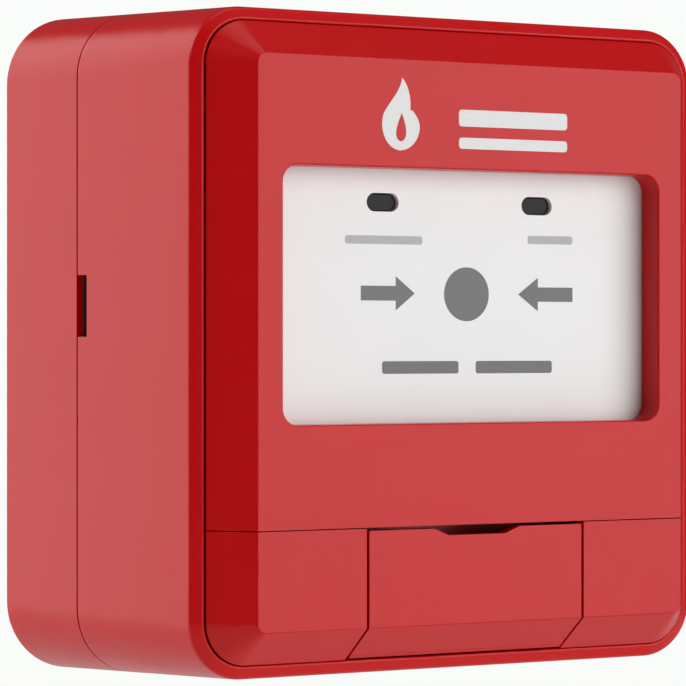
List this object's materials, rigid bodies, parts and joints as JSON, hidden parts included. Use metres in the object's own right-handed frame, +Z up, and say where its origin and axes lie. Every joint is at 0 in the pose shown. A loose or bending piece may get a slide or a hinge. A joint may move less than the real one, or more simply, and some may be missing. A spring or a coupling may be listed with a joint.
{
  "type": "manual call point",
  "caption": "Red wall-mounted fire alarm call point: press panel in a bevelled front, service flap below it, keyed reset inside and a surface back box.",
  "frame": {"origin": "middle of the flat back face of the back box, on the wall plane", "axes": "+X to the right seen from the front, +Y into the wall, +Z up; the front looks along -Y"},
  "size_m": [0.0916, 0.0595, 0.0988],
  "materials": {
    "red_plastic": "satin gloss moulded ABS",
    "white_plastic": "matt moulded",
    "black_plastic": "matt moulded",
    "dark_lens": "smoked polished",
    "lamp_body": "clear tinted",
    "black_rubber": "matt",
    "steel": "zinc plated",
    "spring_steel": "bright wire",
    "brass": "turned",
    "plated_nut": "nickel plated",
    "board_green": "solder mask",
    "terminal_green": "moulded"
  },
  "bodies": {
    "base": {"housing_shell": "red_plastic", "back_box": "red_plastic", "front_bezel": "red_plastic", "lower_fascia": "red_plastic", "box_seal": "black_rubber", "cable_grommet": "black_rubber", "flap_hinge_pin": "steel", "panel_spring_left": "spring_steel", "panel_spring_right": "spring_steel", "latch_spring": "spring_steel", "light_pipe_left": "dark_lens", "light_pipe_right": "dark_lens", "led_left": "lamp_body", "led_right": "lamp_body", "chassis_plate": "black_plastic", "chassis_screws": "steel", "circuit_board": "board_green", "board_screws": "steel", "switch_body": "black_plastic", "phone_jack_body": "black_plastic", "phone_jack_nut": "plated_nut", "terminal_block": "terminal_green", "terminal_screws": "steel"},
    "panel": {"operating_panel": "white_plastic"},
    "plunger": {"switch_plunger": "white_plastic"},
    "flap": {"service_flap": "red_plastic"},
    "key_barrel": {"reset_barrel": "brass", "barrel_clip": "steel", "reset_cam": "brass"},
    "latch": {"latch_slider": "steel"}
  },
  "joints": [
    {"name": "panel_press", "type": "slide", "parent": "base", "child": "panel", "axis": [0, 1, 0], "range_m": [0, 0.0025], "deforming": ["panel_spring_left", "panel_spring_right"]},
    {"name": "plunger_press", "type": "slide", "parent": "base", "child": "plunger", "axis": [0, 1, 0], "range_m": [0, 0.0026]},
    {"name": "flap_open", "type": "hinge", "parent": "base", "child": "flap", "pos_m": [0, -0.0535, -0.0436], "axis": [1, 0, 0], "range_deg": [0, 75]},
    {"name": "key_turn", "type": "hinge", "parent": "base", "child": "key_barrel", "pos_m": [0.009, -0.0445, -0.0335], "axis": [0, 1, 0], "range_deg": [0, 90], "stiffness_Nm_per_rad": 0.0003, "springref_deg": -137.51},
    {"name": "latch_slide", "type": "slide", "parent": "base", "child": "latch", "axis": [0, 0, -1], "range_m": [0, 0.0021], "deforming": ["latch_spring"]}
  ],
  "couplings": [
    {"joint": "plunger_press", "follows": "panel_press", "ratio": 1},
    {"joint": "latch_slide", "follows": "key_turn", "m_per_rad": 0.0012732}
  ]
}
